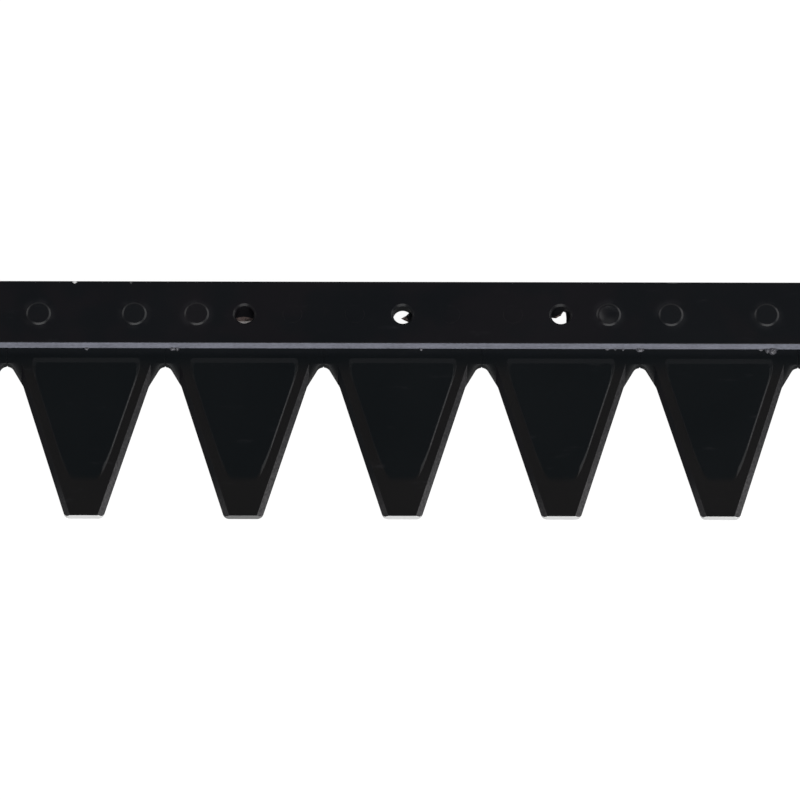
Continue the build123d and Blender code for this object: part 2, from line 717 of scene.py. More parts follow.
@dataclass(frozen=True)
class SectionEnamel(BlackEnamel):
    """Enamel of a section, cool on the raised panel and behind it, warm along the edges, and lightened by
    painted highlight on the panel's rear slope.

    Attributes:
        panel_rise: Heights over which the tone cools up to the panel, in millimetres.
        slope_foot: Heights between which the panel's slopes start, in millimetres.
        slope_top: Heights between which they end, in millimetres.
        warm_stretch: Where the warm tone is full and where it starts, in millimetres.
        slope_sheen_stretch: Where the painted highlight on the rear slope starts and is full, in millimetres.
        slope_sheen_share: How strong that painted highlight is, from 0 to 1.
        dull_stretch: Where the slopes start to lose their gloss and have lost it, in millimetres.
        gloss_loss: How much rougher they are without it.
    """

    colour: Colour = (0.0025, 0.0037, 0.0047, 1.0)
    warm_colour: Colour = (0.0062, 0.006, 0.0063, 1.0)
    panel_rise: Span = (4.1, 4.5)
    slope_foot: Span = (4.0, 4.1)
    slope_top: Span = (4.5, 4.59)
    warm_stretch: Span = (-30.0, -18.0)
    slope_sheen_stretch: Span = (-21.6, -20.6)
    slope_sheen_share: float = 0.11
    dull_stretch: Span = (-30.0, -25.0)
    gloss_loss: float = 0.55

    def slope(self, board: Board) -> Value:
        """The panel's sloping sides and ends."""
        _, _, z = board.axes()
        return z.step(*self.slope_foot) * (1 - z.step(*self.slope_top))

    def warmth(self, board: Board) -> Value:
        """Warm along the edges and at the tip."""
        _, y, z = board.axes()
        return (1 - z.step(*self.panel_rise)) * (1 - y.step(*self.warm_stretch))

    def wear_and_sheen(self, board: Board) -> Value:
        """The smears, and painted highlight on the panel's rear slope.

        Args:
            board: The material's node tree.

        Returns:
            How scuffed the enamel is and how strong the painted highlight is, from 0 to 1.
        """
        _, y, _ = board.axes()
        # Painted highlight on the rear slope, where the slope catches light.
        slope_sheen = self.slope(board) * y.step(*self.slope_sheen_stretch)
        return super().wear_and_sheen(board).larger(slope_sheen * self.slope_sheen_share)

    def dullness(self, board: Board) -> Value:
        """The panel's sides lose their gloss towards the rear."""
        _, y, _ = board.axes()
        return self.slope(board) * y.step(*self.dull_stretch) * self.gloss_loss


@dataclass(frozen=True, kw_only=True)
class BarEnamel(BlackEnamel):
    """Enamel of the knife back, scuffed round the rivets, chipped along the rear edge and lightened by
    painted highlight in two patches there.

    Attributes:
        plan: Places of the rivets and of the bar's edges.
        chips_and_sheen: Where it has come off, and two patches of painted highlight on the rear edge.
        rim_levels: Distances, as a share of a mark's size, between which the mark ends.
        rag_size: Size of the rags in a mark's rim, in millimetres.
        raggedness: How deep they are, as a share of the mark's size.
        chip_drop: How far down the rear face the marks are full and end, in millimetres.
        mark_span: Distances from a rivet's axis between which the scuffs fade, in millimetres.
        mark_share: How strong they are, from 0 to 1.
        cloud_size: Size of the clouds in them, in millimetres.
        cloud_levels: Levels of the noise at which the clouds start and are full.
    """

    plan: KnifePlan
    chips_and_sheen: tuple[EdgeMark, ...]
    rim_levels: Span = (0.7, 1.0)
    rag_size: float = 0.9
    raggedness: float = 1.2
    chip_drop: Span = (0.7, 1.2)
    mark_span: Span = (5.0, 8.5)
    mark_share: float = 0.25
    cloud_size: float = 6.0
    cloud_levels: Span = (0.35, 0.65)

    def wear_and_sheen(self, board: Board) -> Value:
        """The smears, and a scuffed patch round each hammered rivet.

        Args:
            board: The material's node tree.

        Returns:
            How scuffed the enamel is, from 0 to 1.
        """
        x, y, _ = board.axes()
        pitch, head_reach = self.plan.pitch / MM, self.plan.head_reach / MM
        turns = board.math("FRACT", x / pitch + 0.5) - 0.5
        sideways = abs(turns) * pitch - self.plan.rivet_spacing / MM / 2
        away = board.math("SQRT", sideways * sideways + y * y)
        cloud = board.noise(board.place(), self.cloud_size, detail=3.0).step(*self.cloud_levels)
        hammered = abs(x).step(head_reach, head_reach + self.mark_span[1])
        mark = (1 - away.step(*self.mark_span)) * cloud * hammered * self.mark_share
        return super().wear_and_sheen(board).larger(mark)

    def bare(self, board: Board) -> Number:
        """The chips along the rear edge, and the patches of painted highlight on it.

        Args:
            board: The material's node tree.

        Returns:
            How strong a chip or a patch of painted highlight is, from 0 to 1.
        """
        x, y, z = board.axes()
        ragged = board.noise(board.place(), self.rag_size, detail=3.0) - 0.5
        rear, top = self.plan.bar_high.y / MM, self.plan.bar_high.z / MM
        mask: Number = 0.0
        for edge_mark in self.chips_and_sheen:
            sideways = abs(x - edge_mark.x) / edge_mark.half_width
            inward = (rear - y) / edge_mark.depth
            away = sideways * sideways + inward * inward + ragged * self.raggedness
            mask = ((1 - away.step(*self.rim_levels)) * edge_mark.paleness).larger(mask)
        full, end = self.chip_drop
        return mask * z.step(top - end, top - full)


@dataclass(frozen=True)
class BevelEnamel(BlackEnamel):
    """Enamel over the grinding marks of a bevel, lightened towards the tip by painted highlight that the
    marks mottle.

    Attributes:
        rear_sheen: How strong the painted highlight is behind the start, from 0 to 1.
        tip_sheen: How strong it is at the tip, from 0 to 1.
        sheen_start: Where the painted highlight starts to grow, in millimetres.
        sheen_end: Where it is full, in millimetres.
        mottle_size: Size of the grinding marks, in millimetres.
        mottle_levels: Levels of the noise between which they change the painted highlight.
        mottle_least: Factor on the painted highlight between the marks.
        mottle_swing: What the marks add to that factor.
    """

    # Painted highlight: the bevel's colour is lifted towards this grey, more towards the tip.
    wear_and_sheen_colour: Colour = (0.07, 0.068, 0.07, 1.0)
    roughness: float = 0.42
    wave_size: float = 2.5
    wave_depth: float = 0.03 * MM
    # Shares of painted highlight; the right-hand bevels take these, the left-hand ones less.
    rear_sheen: float = 0.35
    tip_sheen: float = 0.8
    sheen_start: float = -45.0
    sheen_end: float = -92.0
    mottle_size: float = 1.1
    mottle_levels: Span = (0.3, 0.7)
    mottle_least: float = 0.55
    mottle_swing: float = 0.9

    def wear_and_sheen(self, board: Board) -> Value:
        """Painted highlight that grows towards the tip, mottled by the grinding marks.

        Args:
            board: The material's node tree.

        Returns:
            How strong the painted highlight is.
        """
        _, y, _ = board.axes()
        growth = 1 - y.step(self.sheen_end, self.sheen_start)
        grown = self.rear_sheen + growth * (self.tip_sheen - self.rear_sheen)
        marks = board.noise(board.place(), self.mottle_size, detail=3.0, roughness=0.6)
        return grown * (self.mottle_least + marks.step(*self.mottle_levels) * self.mottle_swing)


@dataclass(frozen=True)
class BareSteel:
    """Steel ground clear of enamel along a cut edge.

    Attributes:
        name: Name of the material.
        colour: Its colour.
        dark_colour: Its colour in the pits.
        roughness: Its mean roughness.
        metallic: How metallic it is.
        grain_size: Size of its grains across the knife, in millimetres.
        grain_stretch: Factor that draws them out along the knife.
        streak_size: Width of the grinding streaks, in millimetres.
        streak_stretch: Factor that draws them out along the knife.
        blotch_size: Size of its blotches, in millimetres.
        shares: How much grains, streaks and blotches shade it.
        shade_levels: Levels of that shade between which it brightens.
        grain_roughness: How far the grains change the roughness.
        grain_depth: Depth of grains and streaks, in metres.
    """

    name: str
    colour: Colour = (0.31, 0.32, 0.385, 1.0)
    dark_colour: Colour = (0.18, 0.186, 0.223, 1.0)
    roughness: float = 0.5
    metallic: float = 0.1
    grain_size: float = 0.7
    grain_stretch: float = 0.4
    streak_size: float = 0.8
    streak_stretch: float = 0.05
    blotch_size: float = 9.0
    shares: tuple[float, float, float] = (0.6, 0.25, 0.15)
    shade_levels: Span = (0.36, 0.62)
    grain_roughness: float = 0.3
    grain_depth: float = 0.03 * MM

    def make(self) -> bpy.types.Material:
        """Builds the material.

        Returns:
            The material.
        """
        material = bpy.data.materials.new(self.name)
        board = Board(material)
        along = board.place((self.grain_stretch, 1.0, 1.0))
        grain = board.noise(along, self.grain_size, detail=3.0, roughness=0.6)
        streak = board.noise(board.place((self.streak_stretch, 1.0, 1.0)), self.streak_size)
        blotch = board.noise(board.place(), self.blotch_size)
        grain_share, streak_share, blotch_share = self.shares
        shade = grain * grain_share + streak * streak_share + blotch * blotch_share
        board.surface(
            {
                "Base Color": board.mix(shade.step(*self.shade_levels), self.dark_colour, self.colour),
                "Roughness": self.roughness + (grain - 0.5) * self.grain_roughness,
                "Metallic": self.metallic,
                "Normal": board.bump(grain + streak, self.grain_depth),
            }
        )
        return material


@dataclass(frozen=True)
class DriedCoating:
    """Coating that ran out of a joint and dried in beads, or in a film across a hole.

    Attributes:
        name: Name of the material.
        colour: Its colour.
        dark_colour: Its colour in the hollows.
        roughness: Its mean roughness.
        lump_size: Size of its lumps, in millimetres.
        lump_depth: Their depth, in metres.
        lump_levels: Levels of the noise between which they brighten.
        lump_roughness: How far they change the roughness.
    """

    name: str
    colour: Colour = (0.1, 0.1, 0.115, 1.0)
    dark_colour: Colour = (0.015, 0.015, 0.018, 1.0)
    roughness: float = 0.35
    lump_size: float = 0.6
    lump_depth: float = 0.1 * MM
    lump_levels: Span = (0.38, 0.62)
    lump_roughness: float = 0.2

    def make(self) -> bpy.types.Material:
        """Builds the material.

        Returns:
            The material.
        """
        material = bpy.data.materials.new(self.name)
        board = Board(material)
        lumps = board.noise(board.place(), self.lump_size, detail=3.0, roughness=0.6)
        board.surface(
            {
                "Base Color": board.mix(lumps.step(*self.lump_levels), self.dark_colour, self.colour),
                "Roughness": self.roughness + (lumps - 0.5) * self.lump_roughness,
                "Normal": board.bump(lumps, self.lump_depth),
            }
        )
        return material


@dataclass(frozen=True)
class Finishes:
    """The finishes of the knife, each made once.

    Attributes:
        bar: Enamel of the knife back.
        section: Enamel of the sections.
        right_bevel: Enamel of the right-hand bevels, the lit copy, with strong painted highlight.
        left_bevel: Enamel of the left-hand bevels, the shaded copy, with weak painted highlight near the tip.
        rivet: Enamel of the rivets.
        cut_edge: Bare steel of the knife back's front face.
        tip_face: Near-white end faces of the tips, a painted reflection of the white floor in front.
        dull_tip: Dull steel of one tip's end face.
        bead: Beads of coating under the knife back.
        films: Films of coating across the bolt holes, and the pale sheet in one that is painted light.
    """

    bar: bpy.types.Material
    section: bpy.types.Material
    right_bevel: bpy.types.Material
    left_bevel: bpy.types.Material
    rivet: bpy.types.Material
    cut_edge: bpy.types.Material
    tip_face: bpy.types.Material
    dull_tip: bpy.types.Material
    bead: bpy.types.Material
    films: dict[FilmKind, bpy.types.Material]

    @classmethod
    def make(cls, plan: KnifePlan) -> "Finishes":
        """Makes all the materials.

        Args:
            plan: Places shared by the pieces.

        Returns:
            The finishes.
        """
        chips_and_sheen = (
            EdgeMark(x=-145.4, half_width=1.1, depth=1.5, paleness=1.0),
            EdgeMark(x=-120.4, half_width=0.7, depth=1.5, paleness=0.12),
            # Painted highlight, not chips: two faint pale patches where the rounded rear edge catches light.
            EdgeMark(x=120.0, half_width=4.5, depth=0.8, paleness=0.15),
            EdgeMark(x=108.0, half_width=3.0, depth=0.6, paleness=0.08),
        )
        return cls(
            bar=BarEnamel("bar_enamel_look", wave_size=30.0, plan=plan, chips_and_sheen=chips_and_sheen).make(),
            section=SectionEnamel("section_enamel_look").make(),
            # Lit and shaded copies of one bevel enamel: painted highlight, strong on the right-hand bevels
            # and weak on the left-hand ones.
            right_bevel=BevelEnamel("right_bevel_look").make(),
            left_bevel=BevelEnamel("left_bevel_look", rear_sheen=0.0, tip_sheen=0.35, sheen_start=-72.0).make(),
            rivet=BlackEnamel("rivet_enamel_look", specular=0.27, wave_size=3.0, wave_depth=0.04 * MM).make(),
            cut_edge=BareSteel("ground_edge_look").make(),
            # Painted reflection: the tips' end faces are coloured near white, as the lit white floor that
            # they mirror.
            tip_face=BareSteel("tip_face_look", grey(0.95), grey(0.88), metallic=0.0).make(),
            dull_tip=BareSteel("dull_tip_look", grey(0.3), grey(0.22)).make(),
            bead=DriedCoating("paint_bead_look").make(),
            films={
                FilmKind.DARK: BlackEnamel("dark_film_look").make(),
                FilmKind.BROWN: DriedCoating(
                    "brown_film_look", (0.15, 0.11, 0.1, 1.0), (0.03, 0.02, 0.02, 1.0), lump_size=1.5
                ).make(),
                # Painted light: a near-white sheet low in the left bolt hole, coloured as the lit floor seen
                # through it.
                FilmKind.BACKLIT: DriedCoating(
                    "backlit_film_look", (0.85, 0.8, 0.79, 1.0), (0.6, 0.54, 0.54, 1.0), lump_size=2.0
                ).make(),
            },
        )


def dress(piece: bpy.types.Object, finish: bpy.types.Material, slot: str, *nodes: str) -> bpy.types.Object:
    """Gives a piece its finish and ties it to the frame.

    Args:
        piece: The finished piece.
        finish: Its material.
        slot: The record's material slot; not used.
        *nodes: The nodes that it stands for.

    Returns:
        The piece.
    """
    piece.data.materials.clear()
    piece.data.materials.append(finish)
    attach(piece, BODY)
    if nodes:
        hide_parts(*nodes)
    return piece


def refinish(piece: bpy.types.Object, finish: bpy.types.Material, wanted: Test) -> None:
    """Gives some faces of a piece another finish.

    Args:
        piece: The piece.
        finish: The material of those faces.
        wanted: Test on a face's middle and normal.
    """
    piece.data.materials.append(finish)
    index = len(piece.data.materials) - 1
    for polygon, place, way in parts_of(piece.data, Part.FACE):
        if wanted(place, way):
            polygon.material_index = index


@dataclass
class KnifeBack:
    """The flat bar that carries the sections.

    Attributes:
        plan: Places shared with the other pieces.
        rear_radius: Rounding of its two rear edges.
        rear_segments: Faces in that rounding.
        front_radius: Rounding of its upper front edge.
        front_segments: Faces in that rounding.
        front_way: Least share of a front face's normal that points to the front.
        edge_softness: Rounding of its holes' rims and its ends.
        turn_steps: Steps in a hole's full turn.
    """

    plan: KnifePlan
    rear_radius: float = 0.8 * MM
    rear_segments: int = 5
    front_radius: float = 0.3 * MM
    front_segments: int = 3
    front_way: float = 0.95
    edge_softness: float = 0.12 * MM
    turn_steps: int = 64

    def build(self, finishes: Finishes) -> list[bpy.types.Object]:
        """Models and dresses the bar.

        Args:
            finishes: The knife's finishes.

        Returns:
            The finished bar.
        """
        low, high = self.plan.bar_low, self.plan.bar_high
        clear_bench()
        bpy.ops.mesh.primitive_cube_add(size=1, location=(low + high) / 2, scale=high - low)
        bar = bpy.context.object
        bar.name = "knife_back_bar"
        settle(bar)

        def rear(place: Vector, way: Vector) -> bool:
            """Whether an edge is one of the two rear ones."""
            return abs(way.x) > ALONG_AXIS and place.y > high.y - NEAR

        def upper_front(place: Vector, way: Vector) -> bool:
            """Whether an edge is the upper front one."""
            return abs(way.x) > ALONG_AXIS and place.y < low.y + NEAR and place.z > high.z - NEAR

        def front_face(place: Vector, way: Vector) -> bool:
            """Whether a face belongs to the front face."""
            return way.y < -self.front_way and place.y < low.y + NEAR

        round_edges(bar, rear, self.rear_radius, self.rear_segments)
        round_edges(bar, upper_front, self.front_radius, self.front_segments)
        combine(bar, self.holes(), Joining.TAKE_AWAY)
        soften(bar, self.edge_softness, segments=2)
        dress(bar, finishes.bar, "bar_enamel", "knife_back")
        refinish(bar, finishes.cut_edge, front_face)
        return [bar]

    def holes(self) -> bpy.types.Object:
        """Joins the rivet holes and bolt holes.

        Returns:
            The solid to take away.
        """
        cutters = []
        for x in self.plan.rivet_places():
            cutters.append(self.hole(x, 0.0 if self.plan.under_head(x) else self.plan.flare))
        for x in self.plan.bolt_places():
            cutters.append(self.hole(x, self.plan.chamfer))
        return join(cutters, "bar_holes")

    def hole(self, x: float, spread: float) -> bpy.types.Object:
        """One hole through the bar.

        Args:
            x: Its place along the knife.
            spread: How far its upper rim spreads, 0 where it is straight.

        Returns:
            The solid to take away.
        """
        radius, top = self.plan.hole_radius, self.plan.bar_high.z
        profile = [(0.0, 0.0), (radius, 0.0)]
        if spread:
            profile += [(radius, top - spread), (radius + spread + MM, top + MM)]
        else:
            profile.append((radius, top + MM))
        return turned("hole", [*profile, (0.0, top + MM)], self.turn_steps, x)


@dataclass
class BladeSections:
    """The forged sections, side by side under the bar.

    Attributes:
        plan: Places shared with the other pieces.
        tip_width: Width of the tip.
        knee_width: Width at the knees, where the cutting edges start.
        bar_to_knee: Distance from the bar's front face to the knees.
        flank_deg: Slant of the notch flanks behind the knees.
        root_radius: Radius of the notch root.
        root_steps: Steps along it.
        tip_corner: Rounding of the tip's corners.
        bevel_width: Width of the ground bevels.
        edge_land: Height of the cutting edges' flat.
        bar_to_ramp: Distance from the bar's front face to the ramps beside the notch roots.
        ramp_deg: Fall of those ramps, on which the bevels run out.
        bolt_head_radius: Radius of the hole that takes a bolt's head.
        bar_to_panel: Distance from the bar's front face to the raised panel.
        panel_to_tip: Distance from the panel to the tip.
        edge_to_panel: Distance from the cutting edges to the panel.
        panel_draft_deg: Slant of the panel's sides.
        panel_rear_ramp: Length of its rear slope.
        panel_front_ramp: Length of its front slope.
        panel_front_corner: Reach of the rounding of its front corners.
        panel_rear_corner: Reach of the rounding of its rear corners.
        panel_sink: How deep the panel's solid reaches into the section.
        corner_rise: Least rise of the edges at the panel's corners.
        corner_segments: Faces in a rounded corner.
        edge_softness: Rounding of all sharp edges under the enamel.
        bevel_way: Least share of a bevel's normal that points sideways.
        bevel_tilt: Least and largest share of it that points up.
        tip_way: Least share of an end face's normal that points to the front.
        tip_tilt: Largest share of it that points up or down.
        dull_node: The section whose tip has gone dull.
        turn_steps: Steps in a hole's full turn.
    """

    plan: KnifePlan
    tip_width: float = 16.5 * MM
    knee_width: float = 55.6 * MM
    bar_to_knee: float = 17.0 * MM
    flank_deg: float = 29.5
    root_radius: float = 3.2 * MM
    root_steps: int = 8
    tip_corner: float = 2.0 * MM
    bevel_width: float = 2.1 * MM
    edge_land: float = 1.0 * MM
    bar_to_ramp: float = 7.3 * MM
    ramp_deg: float = 22.8
    bolt_head_radius: float = 6.2 * MM
    bar_to_panel: float = 4.6 * MM
    panel_to_tip: float = 15.0 * MM
    edge_to_panel: float = 6.0 * MM
    panel_draft_deg: float = 40.0
    panel_rear_ramp: float = 2.8 * MM
    panel_front_ramp: float = 5.0 * MM
    panel_front_corner: float = 2.4 * MM
    panel_rear_corner: float = 2.6 * MM
    panel_sink: float = 0.3 * MM
    corner_rise: float = 0.08
    corner_segments: int = 6
    edge_softness: float = 0.15 * MM
    bevel_way: float = 0.7
    bevel_tilt: Span = (0.5, 0.65)
    tip_way: float = 0.4
    tip_tilt: float = 0.6
    dull_node: str = "section_04"
    turn_steps: int = 48

    @property
    def knee_reach(self) -> float:
        """Distance of the knees from the row of holes."""
        return -self.plan.bar_low.y + self.bar_to_knee

    @property
    def tip_reach(self) -> float:
        """Distance of the tip from the row of holes."""
        return -self.plan.section_low.y

    @property
    def edge_slope(self) -> float:
        """How fast the blade widens from tip to knees, on each side."""
        return (self.knee_width - self.tip_width) / 2 / (self.tip_reach - self.knee_reach)

    def edge_half_width(self, reach: float) -> float:
        """Half the width between the cutting edges at a reach from the holes."""
        return self.tip_width / 2 + (self.tip_reach - reach) * self.edge_slope

    def build(self, finishes: Finishes) -> list[bpy.types.Object]:
        """Models the two kinds of section, and copies and dresses them.

        Args:
            finishes: The knife's finishes.

        Returns:
            The finished sections, from left to right.
        """
        plain = self.model("plain_section", bolted=False)
        bolted = self.model("bolted_section", bolted=True)
        pieces = []
        for node, x in zip(self.plan.section_nodes, self.plan.centres):
            model = bolted if self.plan.carries_bolt(x) else plain
            piece = copied(model, node.replace("section", "blade_section"), x)
            dress(piece, finishes.section, "section_enamel", node)
            # The right-hand bevels take the lit copy and the left-hand ones the shaded copy, as painted light
            # and shade.
            refinish(piece, finishes.right_bevel, lambda place, way: self.on_bevel(way.x, way.z))
            refinish(piece, finishes.left_bevel, lambda place, way: self.on_bevel(-way.x, way.z))
            # The tips' end faces take a painted reflection of the white floor, one tip a plain grey.
            refinish(piece, finishes.dull_tip if node == self.dull_node else finishes.tip_face, self.on_tip)
            pieces.append(piece)
        for model in (plain, bolted):
            bpy.data.objects.remove(model)
        return pieces

    def on_bevel(self, outward: float, upward: float) -> bool:
        """Whether a face lies on a bevel, by the shares of its normal that point outwards and up."""
        return outward > self.bevel_way and self.bevel_tilt[0] < upward < self.bevel_tilt[1]

    def on_tip(self, place: Vector, way: Vector) -> bool:
        """Whether a face lies on the tip's end face or its rounded corners, by its middle and normal."""
        edge = self.plan.section_low.y + self.tip_corner
        return way.y < -self.tip_way and abs(way.z) < self.tip_tilt and place.y < edge

    def model(self, name: str, bolted: bool) -> bpy.types.Object:
        """Models one section about X = 0.

        Args:
            name: Name of the model.
            bolted: Whether it has a bolt hole.

        Returns:
            The softened section.
        """
        top = self.plan.section_top
        section = prism(name, self.outline(), 0.0, top)
        tip = self.plan.section_low.y + NEAR
        round_edges(
            section,
            lambda place, way: abs(way.z) > ALONG_AXIS and place.y < tip,
            self.tip_corner,
            self.corner_segments,
        )
        for side in (-1, 1):
            combine(section, self.bevel_tool(side), Joining.TAKE_AWAY)
        combine(section, self.panel(), Joining.ADD)
        holes = [(side * self.plan.rivet_spacing / 2, self.plan.hole_radius) for side in (-1, 1)]
        if bolted:
            holes.append((0.0, self.bolt_head_radius))
        tools = []
        for x, radius in holes:
            profile = [(0.0, -top), (radius, -top), (radius, 2 * top), (0.0, 2 * top)]
            tools.append(turned("hole", profile, self.turn_steps, x))
        combine(section, join(tools, "section_holes"), Joining.TAKE_AWAY)
        soften(section, self.edge_softness)
        return section

    def outline(self) -> list[Point]:
        """Draws a section from above: shoulders, round notch roots, and a blade from knees to tip.

        Returns:
            Its corners, in order.
        """
        half = self.plan.section_high.x
        rear = self.plan.section_high.y
        half_mouth = (self.plan.pitch - self.knee_width) / 2
        slant = math.radians(self.flank_deg)
        root_y = half_mouth / math.tan(slant) - self.knee_reach - self.root_radius / math.sin(slant)
        root = (self.plan.pitch / 2, root_y)
        start = 90 + math.degrees(math.asin((self.plan.pitch / 2 - half) / self.root_radius))
        right = [
            (half, rear),
            *arc(root, self.root_radius, start, 180 - self.flank_deg, self.root_steps),
            (self.knee_width / 2, -self.knee_reach),
            (self.tip_width / 2, -self.tip_reach),
        ]
        return right + [(-x, y) for x, y in reversed(right)]

    def bevel_tool(self, side: int) -> bpy.types.Object:
        """What is ground off one cutting edge, down to the ramp in the shoulder.

        Args:
            side: 1 for the right-hand edge, -1 for the left-hand one.

        Returns:
            The solid to take away.
        """
        top = self.plan.section_top
        margin = top
        mouth = self.plan.pitch - self.knee_width
        slope = (top - self.edge_land) / self.bevel_width
        profile = [
            (-mouth, self.edge_land - mouth * slope),
            (self.bevel_width + margin, top + margin * slope),
            (-mouth, top + margin * slope),
        ]
        tool = prism("bevel_tool", profile, 0.0, 2 * self.tip_reach)
        along = Vector((self.edge_slope, 1, 0)).normalized()
        inward = Vector((-along.y, along.x, 0))
        corner = Vector((self.tip_width / 2, -self.tip_reach, 0)) - along * margin
        columns = (inward, Vector((0, 0, 1)), along, corner)
        turn = Matrix([[column[row] for column in columns] for row in range(3)]).to_4x4()
        for row in range(3):
            turn[row][3] = corner[row]
        tool.matrix_world = Matrix.Scale(side, 4, Vector((1, 0, 0))) @ turn
        settle(tool)
        pick(tool, Part.FACE, lambda place, way: True)
        fall = math.radians(self.ramp_deg)
        bpy.ops.mesh.bisect(
            plane_co=(0, self.plan.bar_low.y - self.bar_to_ramp, top),
            plane_no=(0, -math.sin(fall), math.cos(fall)),
            use_fill=True,
            clear_inner=True,
        )
        close_up(tool)
        return tool

    def panel(self) -> bpy.types.Object:
        """Models the raised panel: a trapezoid along the cutting edges, with a gentle slope at each end.

        Returns:
            The solid to add.
        """
        top = self.plan.section_top
        height = self.plan.section_high.z - top
        rear = -self.plan.bar_low.y + self.bar_to_panel
        front = self.tip_reach - self.panel_to_tip
        inset = height * math.tan(math.radians(self.panel_draft_deg)) * math.hypot(1, self.edge_slope)
        foot = self.trapezoid(rear, front, self.edge_to_panel)
        lid = self.trapezoid(
            rear + self.panel_rear_ramp, front - self.panel_front_ramp, self.edge_to_panel + inset
        )
        share = self.panel_sink / height
        base = [(a + (a - c) * share, b + (b - d) * share) for (a, b), (c, d) in zip(foot, lid)]
        panel = prism("panel", base, top - self.panel_sink, top + height, lid)
        middle = -(rear + front) / 2

        def corner(place: Vector, way: Vector) -> bool:
            """Whether an edge rises at one of the panel's corners."""
            return abs(way.z) > self.corner_rise and abs(way.x) < ALONG_AXIS

        front_corner, rear_corner = self.panel_front_corner, self.panel_rear_corner
        segments = self.corner_segments
        round_edges(panel, lambda place, way: corner(place, way) and place.y < middle, front_corner, segments)
        round_edges(panel, lambda place, way: corner(place, way) and place.y >= middle, rear_corner, segments)
        return panel

    def trapezoid(self, rear: float, front: float, inset: float) -> list[Point]:
        """Corners of a trapezoid along the cutting edges.

        Args:
            rear: Reach of its rear side.
            front: Reach of its front side.
            inset: Distance of its slanted sides from the cutting edges.

        Returns:
            The four corners, in order.
        """
        wide = self.edge_half_width(rear) - inset
        narrow = self.edge_half_width(front) - inset
        return [(-wide, -rear), (-narrow, -front), (narrow, -front), (wide, -rear)]


@dataclass
class Rivets:
    """The rivets of the sections, with hammered closing heads, or ground flush under the drive head.

    Attributes:
        plan: Places shared with the other pieces.
        head_radius: Radius of a hammered head at its foot.
        head_height: How far it stands out of the bar.
        head_slope: Width of the slope round it.
        seat_depth: How deep the slope's foot lies in the bar.
        sunk_depth: Depth of the dish in a head that was driven in too far.
        sunk_x: Place of the rivet that was, along the knife.
        flush_dip: Depth of the faint ring round a ground rivet.
        crest: Points of a head's rounded rim, as shares of slope width outwards and head height upwards.
        dish: Points of the dish, as shares of the way out from the axis.
        sharp_deg: Edges over this angle stay sharp.
        turn_steps: Steps in a full turn.
    """

    plan: KnifePlan
    head_radius: float = 5.55 * MM
    head_height: float = 0.5 * MM
    head_slope: float = 0.95 * MM
    seat_depth: float = 0.05 * MM
    sunk_depth: float = 0.8 * MM
    sunk_x: float = 91.2 * MM
    flush_dip: float = 0.04 * MM
    crest: tuple[Point, ...] = ((0.16, 0.88), (0.06, 0.97), (-0.06, 1.0))
    dish: tuple[float, ...] = (0.85, 0.7, 0.55, 0.4, 0.2, 0.0)
    sharp_deg: float = 50.0
    turn_steps: int = 56

    def build(self, finishes: Finishes) -> list[bpy.types.Object]:
        """Models each kind of rivet once, and copies and dresses them.

        Args:
            finishes: The knife's finishes.

        Returns:
            The hammered rivets and the ground ones.
        """
        models: dict[RivetHead, bpy.types.Object] = {}
        for head in RivetHead:
            models[head] = turned(f"{head.value}_model", self.profile(head), self.turn_steps)
        for model in models.values():
            smooth(model, self.sharp_deg)
        hammered, ground = [], []
        for x in self.plan.rivet_places():
            head = self.head_at(x)
            group = ground if head is RivetHead.GROUND else hammered
            group.append(copied(models[head], "rivet", x))
        for model in models.values():
            bpy.data.objects.remove(model)
        return [
            dress(join(hammered, "hammered_rivets"), finishes.rivet, "rivet_enamel", "section_rivets"),
            dress(join(ground, "ground_rivets"), finishes.bar, "rivet_enamel", "flush_rivets"),
        ]

    def head_at(self, x: float) -> RivetHead:
        """Finds out which head a rivet has.

        Args:
            x: Its place along the knife.

        Returns:
            The head.
        """
        if self.plan.under_head(x):
            return RivetHead.GROUND
        return RivetHead.SUNK if abs(x - self.sunk_x) < MM else RivetHead.HAMMERED

    def profile(self, head: RivetHead) -> list[Point]:
        """Half profile of a rivet from the middle of its foot to the middle of its head.

        Args:
            head: How its head was finished.

        Returns:
            Radius and height of each point.
        """
        radius, flare, top = self.plan.hole_radius, self.plan.flare, self.plan.bar_high.z
        shank = [(0.0, 0.0), (radius, 0.0)]
        if head is RivetHead.GROUND:
            rim = radius - 2 * self.flush_dip
            return shank + [(radius, top - self.flush_dip), (rim, top), (0.0, top)]
        seat = top - self.seat_depth
        crest = top + self.head_height
        inner = self.head_radius - self.head_slope
        shank += [(radius, top - flare), (radius + flare - self.seat_depth, seat), (self.head_radius, seat)]
        shank += [(inner + self.head_slope * out, top + self.head_height * up) for out, up in self.crest]
        if head is RivetHead.HAMMERED:
            return shank + [(0.0, crest)]
        return shank + [(inner * out, crest - self.sunk_depth * (1 - out * out)) for out in self.dish]


